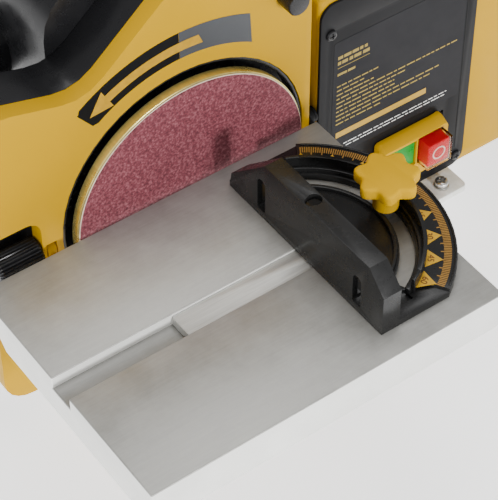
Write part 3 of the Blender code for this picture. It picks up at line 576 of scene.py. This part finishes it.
def knob_ribs():
    """Table lock knob, with ribs along it."""
    low, high = span("table_lock_knob")
    y, z = middle("table_lock_knob").yz
    left, right = low.x, low.x + 28
    ribs, radius = 30, (high.z - low.z) / 2
    outline = []
    for i in range(ribs * 6):
        angle = 2 * math.pi * i / (ribs * 6)
        wave = 0.5 + 0.5 * math.cos(ribs * angle)
        outline.append((angle, radius - 0.8 * (1 - wave) ** 2))
    loops = []
    for x, shrink in ((left, 2.2), (left + 0.6, 1.0), (left + 1.8, 0.0), (right - 1.8, 0.0),
                      (right - 0.6, 0.9), (right, 2.4)):
        loops.append([(x, y + (r - shrink) * math.cos(a), z + (r - shrink) * math.sin(a))
                      for a, r in outline])
    knob = lofted("lock_knob_grip", loops)
    stud = turned("lock_knob_stud", (y, z), "X", [(0, right - 0.2), (3, right - 0.2), (3, high.x - 0.8),
                                                  (2.2, high.x), (0, high.x)], 32)
    soften(knob, 0)
    soften(stud, 0)
    place(knob, "table_lock_knob", "black_plastic")
    place(stud, "table_lock_knob", "steel", replaces=False)


def mitre_gauge():
    """Bar, head, pivot screw and star knob of the mitre gauge."""
    dress("mitre_bar", "bar_steel", 0.5)
    head = dress("mitre_head", "mitre_black", 0.8, 3)
    head.data.set_sharp_from_angle(angle=math.radians(40))
    dress("mitre_pivot_screw", "bright_steel", 0.5)
    mitre_rims()
    mitre_scale()
    star_knob()


def ring_part(name, inner, outer, start, end, low, high, count=60):
    """Part of a flat ring round the head's pivot."""
    x, y = PIVOT.xy
    outline = arc(x, y, outer, start, end, count) + arc(x, y, inner, end, start, count)
    return prism(name, [outline], "Z", low, high)


def mitre_rims():
    """Low wall inside the clamp's window, and the wall and outer lip of the scale."""
    inside = ring_part("window_inner_wall", 45.2, 47.6, -66, 66, 4.4, 6.6)
    ledge = ring_part("scale_inner_wall", 58.6, 61.6, -68, 68, 4.2, 7.6)
    wall_inner, wall_outer, wall_foot, wall_top = 61.0, 63.2, 4.2, 14
    near_end = ring_part("scale_wall_near_end", wall_inner, wall_outer, -66, -58, wall_foot, wall_top)
    far_end = ring_part("scale_wall_far_end", wall_inner, wall_outer, 58, 66, wall_foot, wall_top)
    lip = ring_part("scale_outer_lip", HEAD_RADIUS - 1.6, HEAD_RADIUS - 0.3, -57, 57, 6.2, 7.1)
    for piece in (inside, ledge, near_end, far_end, lip):
        soften(piece, 0.5, 3)
        place(piece, "mitre_head", "mitre_black", replaces=False)


def scale_angle(degree):
    """Where a degree's mark is on the scale, which is printed a little short."""
    return degree * 0.96 - 0.6


def mitre_scale():
    """Printed protractor: a tick each degree, and a numbered triangle each fifteen."""
    x, y = PIVOT.xy
    film_low, film_high = SCALE_TOP, SCALE_TOP + STICKER
    ticks = []
    for degree in range(-60, 61):
        inner = 70.6 if degree % 5 == 0 else 72.4
        half, turn = 0.26, scale_angle(degree)
        outline = (arc(x, y, 76.6, turn - half, turn + half, 1)
                   + arc(x, y, inner, turn + half, turn - half, 1))
        ticks.append(prism("tick", [outline], "Z", film_low, film_high))
    marks = merge("scale_ticks", ticks)
    place(marks, "mitre_head", "scale_gold", replaces=False)
    triangles, numbers = [], []
    for degree in range(-60, 61, 15):
        angle = math.radians(scale_angle(degree))
        out = Vector((math.cos(angle), math.sin(angle)))
        side = Vector((-out.y, out.x))
        base = Vector((x, y)) + out * 62.6
        tip = Vector((x, y)) + out * 72.0
        outline = [tuple(base - side * 6.6), tuple(tip), tuple(base + side * 6.6)]
        triangles.append(prism("triangle", [outline], "Z", film_low, film_high + 0.05))
        numbers.append(dial_number(str(abs(degree)), base + out * 1.2, out, film_high + 0.1))
    wedges = merge("scale_triangles", triangles)
    place(wedges, "mitre_head", "scale_yellow", replaces=False)
    figures = merge("scale_numbers", numbers)
    place(figures, "mitre_head", "scale_red", replaces=False)


def dial_number(text, foot, up, height):
    """Number lying flat, with its foot at a point and its top towards a direction."""
    curve = bpy.data.curves.new("number", "FONT")
    curve.body = text
    curve.align_x = "CENTER"
    curve.size = 5.2 * MM
    curve.extrude = 0.05 * MM
    label = new_object("number_outline", curve)
    across = Vector((up.y, -up.x))
    spot = at(foot.x, foot.y, height)
    turn = Matrix(((across.x, up.x, 0), (across.y, up.y, 0), (0, 0, 1))).to_4x4()
    view = bpy.context.evaluated_depsgraph_get()
    mesh = bpy.data.meshes.new_from_object(label.evaluated_get(view))
    bpy.data.objects.remove(label)
    mesh.transform(Matrix.Translation(spot) @ turn)
    return new_object("number", mesh)


def star_knob():
    """Star knob with seven rounded lobes on a round hub."""
    x, y = KNOB.xy
    top = span("mitre_knob")[1].z
    count, middle_radius, wave, lobes = 168, 16.6, 1.9, 7
    first_lobe = math.radians(28.8)
    outline = []
    for i in range(count):
        angle = 2 * math.pi * i / count
        radius = middle_radius + wave * math.cos(lobes * (angle - first_lobe))
        outline.append((angle, radius))
    loops = []
    for height, shrink in ((top - 8.3, 2.0), (top - 7.9, 0.9), (top - 7.1, 0.2), (top - 6, 0.0),
                           (top - 1.8, 0.0), (top - 0.9, 0.3), (top - 0.3, 1.0), (top, 2.2)):
        loops.append([(x + (r - shrink) * math.cos(a), y + (r - shrink) * math.sin(a), height)
                      for a, r in outline])
    star = lofted("star_knob", loops)
    low = span("mitre_knob")[0].z
    hub = turned("star_knob_hub", (x, y), "Z", [(3.3, low), (6.8, low), (7.4, low + 0.6), (7.4, top - 10),
                                                (8.4, top - 8.4), (3.3, top - 8.4)], 64, closed=True)
    soften(star, 0)
    soften(hub, 0)
    place(star, "mitre_knob", "yellow_knob")
    place(hub, "mitre_knob", "yellow_knob", replaces=False)


# ---------------------------------------------------------------- disc

def disc():
    """Abrasive disc, its pale cut edge and the plated plate behind it."""
    front, back = span("abrasive_disc")[0].y, span("abrasive_disc")[1].y
    paper = turned("abrasive_face", SPINDLE, "Y",
                   [(0, front), (DISC_RADIUS - 0.9, front), (DISC_RADIUS - 0.5, front + 0.25),
                    (DISC_RADIUS - 0.5, back - 0.5), (0, back - 0.5)], 180)
    soften(paper, 0)
    place(paper, "abrasive_disc", "disc_paper")
    edge = turned("abrasive_backing", SPINDLE, "Y",
                  [(0, back - 0.48), (DISC_RADIUS - 0.1, back - 0.48), (DISC_RADIUS, back - 0.2),
                   (DISC_RADIUS - 0.2, back), (0, back)], 180)
    soften(edge, 0)
    place(edge, "abrasive_disc", "paper_edge", replaces=False)
    low, high = span("disc_plate")
    outer, hub = (high.x - low.x) / 2, 12
    near, far = low.y, high.y
    plate = turned("plated_disc", SPINDLE, "Y",
                   [(6.3, near), (outer - 0.5, near), (outer - 0.1, near + 0.3), (outer, near + 0.9),
                    (outer, near + 5.2), (outer - 0.6, near + 5.9), (outer - 1.4, near + 6), (hub, near + 6),
                    (hub, far), (6.3, far)], 180, closed=True)
    soften(plate, 0)
    place(plate, "disc_plate", "zinc_gold")


# ---------------------------------------------------------------- housing

def housing():
    """Disc's shell, its dish, the rear shell and the dust hood."""
    dress("disc_housing", "yellow_paint", 2.0, 4, 50)
    dress("housing_back", "black_plastic", 1.2, 3, 50)
    dress("disc_liner", "black_plastic", 0.4)
    dress("dust_hood", "black_plastic", 2.0, 4, 50)
    direction_film()


def direction_film():
    """Curved black film over the disc, with an arrow against the clock and a grey tail."""
    low, high = FACE - STICKER, FACE
    inner, outer = 91.5, 109.6
    turn, tail = 128.0, 91.0
    x, z = SPINDLE
    band = arc(x, z, outer, tail, turn - 1.6, 40) + arc(x, z, outer - 1.6, turn - 0.5, turn, 2)
    band += arc(x, z, inner + 1.6, turn, turn - 0.4, 2) + arc(x, z, inner, turn - 1.8, tail, 40)
    black = prism("direction_film", [band], "Y", low, high)
    place(black, "disc_housing", "black_film", replaces=False)
    rest = arc(x, z, outer, 66, tail - 0.1, 30) + arc(x, z, inner, tail - 0.1, 60, 30)
    grey = prism("direction_film_tail", [rest], "Y", low, high)
    place(grey, "disc_housing", "grey_film", replaces=False)
    centre, half, barb = 99.8, 3.0, 7.4
    shaft = arc(x, z, centre + half, 84, 118.5, 30)
    head = arc(x, z, centre + barb, 118.5, 118.5, 1)[:1] + arc(x, z, centre - 0.4, 126.4, 126.4, 1)[:1]
    head += arc(x, z, centre - barb, 118.5, 118.5, 1)[:1]
    back = arc(x, z, centre - half, 118.5, 82, 30)
    arrow = prism("direction_arrow", [shaft + head + back], "Y", low - STICKER, low)
    place(arrow, "disc_housing", "orange_ink", replaces=False)


# ---------------------------------------------------------------- motor box, plate and switch

def motor_box():
    """Box with its front plate, the plate's screws and the cable gland."""
    dress("motor_box", "yellow_paint", 0.6, 2, 50)
    dress("cover_plate", "black_paint", 0.5, 3, 50)
    plate_label()
    plate_trim()
    for index in range(1, 5):
        panel_screw(f"cover_screw_{index}")
    dress("cable_gland", "black_plastic", 0.6)


def plate_label():
    """Label with generic rows of dashes, a yellow bar and thin white rules."""
    front = FACE - STICKER
    back = FACE
    left, right, low, high = 103.5, 203.0, -49.0, 42.0
    outline = rounded([(left, low, 2), (right, low, 2), (right, high, 2), (left, high, 2)])
    film = prism("plate_label", [outline], "Y", front, back)
    place(film, "cover_plate", "label_film", replaces=False)
    text, white = [], []
    dice = random.Random(7)

    def row(start, end, z, height, store):
        """Dashes of uneven length, as a row of small print looks from afar."""
        x = start
        while x < end - 1:
            length = min(dice.uniform(2.0, 7.0), end - x)
            store.append(prism("dash", [rectangle(x, z, x + length, z + height)], "Y", front - PRINT, front))
            x += length + dice.uniform(0.7, 1.3)

    row(106.5, 128.5, 28.4, 2.3, text)
    row(106.5, 130.0, 24.2, 2.5, text)
    text.append(prism("dash", [rectangle(106.5, 21.6, 130.0, 22.0)], "Y", front - PRINT, front))
    row(106.5, 119.5, 15.8, 1.8, text)
    ends = (137, 128, 134, 198, 158, 150, 152, 186, 178, 140)
    for index, end in enumerate(ends):
        row(106.5, end, 6.9 - 3.35 * index, 0.95, text)
    bar = prism("label_bar", [rectangle(106.8, -34.2, 176.0, -29.8)], "Y", front - PRINT, front)
    place(bar, "cover_plate", "bar_ink", replaces=False)
    row(113, 193, -41.6, 0.55, white)
    row(115, 191.5, -44.0, 0.55, white)
    place(merge("label_rows", text), "cover_plate", "yellow_ink", replaces=False)
    place(merge("label_rules", white), "cover_plate", "white_ink", replaces=False)


def plate_trim():
    """Painted shadow of the folded seam down the plate's right side: a thin near-black strip on the plate's
    face.
    """
    front = FACE - 0.12
    seam = prism("plate_seam_painted_shadow", [rectangle(204.2, -96, 205.0, 62)], "Y", front, FACE)
    place(seam, "cover_plate", "shadow_gap", replaces=False)


def panel_screw(node):
    """Round-headed screw with a cross recess."""
    low, high = span(node)
    x, z = (low.x + high.x) / 2, (low.z + high.z) / 2
    radius, front = (high.x - low.x) / 2, low.y
    head = turned(node + "_head", (x, z), "Y",
                  [(0, front), (radius * 0.5, front + 0.05), (radius * 0.85, front + 0.45),
                   (radius, front + 1.1), (radius, front + 1.5), (1.9, front + 1.5), (1.9, high.y),
                   (0, high.y)], 40)
    recess = [prism("recess", [rectangle(x - 0.4, z - 2, x + 0.4, z + 2)], "Y", front - 1, front + 1.1),
              prism("recess", [rectangle(x - 2, z - 0.4, x + 2, z + 0.4)], "Y", front - 1, front + 1.1)]
    carve(head, *recess)
    soften(head, 0)
    place(head, node, "black_plastic")


def switch():
    """Yellow frame with a sloping hood, a green start button and a capped red stop button."""
    low, high = span("switch_frame")
    front, back = low.y, high.y
    start_low, start_high = span("start_button")
    stop_low, stop_high = span("stop_button")

    def outline(drop):
        """Frame's outline, with its top lowered by a drop."""
        return rounded([(low.x, low.z, 3), (181, low.z, 3), (188.3, -80, 3), (188.3, -54 - drop, 3),
                        (180.5, high.z - drop, 3), (low.x, high.z - drop, 3)])

    loops = []
    for y, drop in ((back, 0.0), (back - 3.0, 0.0), (front + 0.8, 2.6), (front, 3.2)):
        loops.append([(u, y, v) for u, v in outline(drop)])
    shell = lofted("switch_hood", loops)
    gap = 0.5
    carve(shell,
          box("start_hole", (start_low.x - gap, front - 5, start_low.z - gap),
              (start_high.x + gap, back + 5, start_high.z - 1.6)),
          box("stop_hole", (stop_low.x - gap, front - 5, stop_low.z - gap),
              (stop_high.x + gap, back + 5, stop_high.z - 0.9)))
    soften(shell, 0.5, 3)
    place(shell, "switch_frame", "yellow_plastic")
    dress("switch_body", "black_plastic", 0.5)
    start = box("start_button_cap", (start_low.x, start_low.y, start_low.z),
                (start_high.x, start_high.y, start_high.z - 2.4))
    place(soften(start, 0.8, 3), "start_button", "green_plastic")
    inside, face = 1.5, stop_low.y
    stop = box("stop_button_cap", (stop_low.x + inside, face + inside, stop_low.z + inside),
               (stop_high.x - inside, stop_high.y, stop_high.z - 1.4 - inside))
    place(soften(stop, 0.7, 3), "stop_button", "red_plastic")
    cover = box("stop_clear_cover", (stop_low.x, face, stop_low.z),
                (stop_high.x, stop_high.y - 2, stop_high.z - 1.4))
    hollow = box("cover_hollow", (stop_low.x + 1.1, face + 1.1, stop_low.z + 1.1),
                 (stop_high.x - 1.1, stop_high.y + 5, stop_high.z - 2.5))
    carve(cover, hollow)
    place(soften(cover, 0.5, 3), "stop_button", "clear", replaces=False)
    x, z = (stop_low.x + stop_high.x) / 2, (stop_low.z + stop_high.z - 1.4) / 2
    ring = prism("stop_ring", [circle(x, z, 5.0, 48), circle(x, z, 4.0, 48)], "Y", face + inside - 0.12,
                 face + inside)
    place(ring, "stop_button", "white_ink", replaces=False)


# ---------------------------------------------------------------- base

def base():
    """Bolt-down base, its feet and the screw in its ear."""
    dress("base_plate", "zinc_steel", 0.7, 3, 50)
    for index in range(1, 5):
        dress(f"foot_{index}", "black_rubber", 1.5, 3)
    ear_screw()


def ear_screw():
    """Pan-head screw with a cross recess, on a spring washer and a plain washer."""
    low, high = span("ear_screw")
    x, y = middle("ear_screw").xy
    seat, top = high.z - 4.7, high.z
    washer = turned("ear_washer", (x, y), "Z",
                    [(2.7, seat), (5.0, seat), (5.0, seat + 0.7), (2.7, seat + 0.7)], 48, closed=True)
    spring = turned("ear_spring_washer", (x, y), "Z",
                    [(2.7, seat + 0.8), (4.3, seat + 0.8), (4.3, seat + 1.8), (2.7, seat + 1.8)], 48,
                    closed=True)
    head = turned("ear_screw_head", (x, y), "Z",
                  [(0, low.z), (2.5, low.z), (2.5, seat + 1.9), (4.5, seat + 1.9), (4.7, seat + 2.4),
                   (4.5, top - 1.2), (3.9, top - 0.5), (2.8, top - 0.1), (0, top)], 48)
    carve(head, box("recess", (x - 3.0, y - 0.55, top - 1.8), (x + 3.0, y + 0.55, top + 1)),
          box("recess", (x - 0.55, y - 3.0, top - 1.8), (x + 0.55, y + 3.0, top + 1)))
    for piece, first in ((head, True), (washer, False), (spring, False)):
        soften(piece, 0.15)
        place(piece, "ear_screw", "bright_steel", replaces=first)


# ---------------------------------------------------------------- belt arm and drives

DRESSED = {
    "belt_guard": ("yellow_paint", 0.5), "arm_side_plate": ("black_paint", 0.5),
    "arm_beam": ("black_paint", 0.8), "platen": ("steel", 0.4), "work_stop": ("zinc_steel", 0.5),
    "idler_carriage": ("zinc_steel", 0.5),
    "tension_lever": ("black_plastic", 1.2), "arm_lock_lever": ("black_plastic", 1.2),
    "tracking_knob": ("black_plastic", 1.0), "drive_cover": ("black_plastic", 2.0),
    "motor_can": ("black_paint", 1.0), "spindle_bracket": ("black_paint", 1.0),
}
PLAIN = {
    "sanding_belt": "belt_cloth", "drive_drum": "black_rubber", "idler_drum": "aluminium",
    "drum_timing_pulley": "steel", "spindle_timing_pulley": "steel", "spindle_pulley": "steel",
    "motor_pulley": "steel", "spindle_shaft": "steel", "spindle_bearing_front": "steel",
    "spindle_bearing_rear": "steel", "drive_belt": "black_rubber", "timing_belt": "black_rubber",
    "motor_stator": "copper", "motor_rotor": "steel", "motor_fan": "black_plastic",
    "motor_shield": "aluminium",
}


def belt_unit():
    """Belt arm, motor and drives."""
    for node, (material, width) in DRESSED.items():
        dress(node, material, width, 3, 50)
    for node, material in PLAIN.items():
        dress(node, material, 0, 1, 40)


# ---------------------------------------------------------------- stage

def studio():
    """Pale floor, white surroundings and soft lights."""
    shape = bmesh.new()
    bmesh.ops.create_grid(shape, x_segments=1, y_segments=1, size=6)
    mesh = bpy.data.meshes.new("floor")
    shape.to_mesh(mesh)
    shape.free()
    floor = new_object("floor", mesh)
    material, tree, shader = shade("pale_floor", (0.92, 0.92, 0.92), 0.8, specular=0.2)
    shader.inputs["Emission Color"].default_value = (1, 1, 1, 1)
    shader.inputs["Emission Strength"].default_value = 1.2
    bump(tree, shader, [(noise(tree, 60, 2), 0.05, 0.2)])
    mesh.materials.append(material)
    world = bpy.data.worlds.new("studio")
    world.use_nodes = True
    world.node_tree.nodes["Background"].inputs["Color"].default_value = (1, 1, 1, 1)
    world.node_tree.nodes["Background"].inputs["Strength"].default_value = 0.5
    bpy.context.scene.world = world
    for name, spot, aim, size, power in (
            ("key", (30, -1900, 550), (30, 0, 10), 0.22, 32),
            ("fill", (-1300, -500, 500), (0, 0, 0), 0.8, 12),
            ("top", (200, 200, 1500), (40, -40, 0), 0.9, 12)):
        lamp = bpy.data.lights.new(name, "AREA")
        lamp.size = size
        lamp.energy = power
        light = new_object(name, lamp)
        light.location = at(*spot)
        light.rotation_euler = (at(*spot) - at(*aim)).to_track_quat("Z", "Y").to_euler()


def camera():
    """Long lens from above the operator's left shoulder."""
    azimuth, elevation, roll = math.radians(-36.633), math.radians(46.27), math.radians(0.5)
    back = Vector((math.sin(azimuth) * math.cos(elevation), -math.cos(azimuth) * math.cos(elevation),
                   math.sin(elevation)))
    right = (-back).cross(Vector((0, 0, 1))).normalized()
    up = right.cross(-back)
    rolled = right * math.cos(roll) + up * math.sin(roll)
    upright = up * math.cos(roll) - right * math.sin(roll)
    lens = bpy.data.cameras.new("camera")
    lens.lens = 146.32
    lens.sensor_width = 36
    lens.shift_x, lens.shift_y = -0.0466, -0.0496
    lens.clip_start, lens.clip_end = 0.05, 20
    obj = new_object("camera", lens)
    turn = Matrix((rolled, upright, back)).transposed().to_4x4()
    obj.matrix_world = Matrix.Translation(at(-444.16, -669.44, 804.22)) @ turn
    bpy.context.scene.camera = obj


MATERIALS = make_materials()
table()
mitre_gauge()
disc()
housing()
motor_box()
switch()
base()
belt_unit()
studio()
camera()
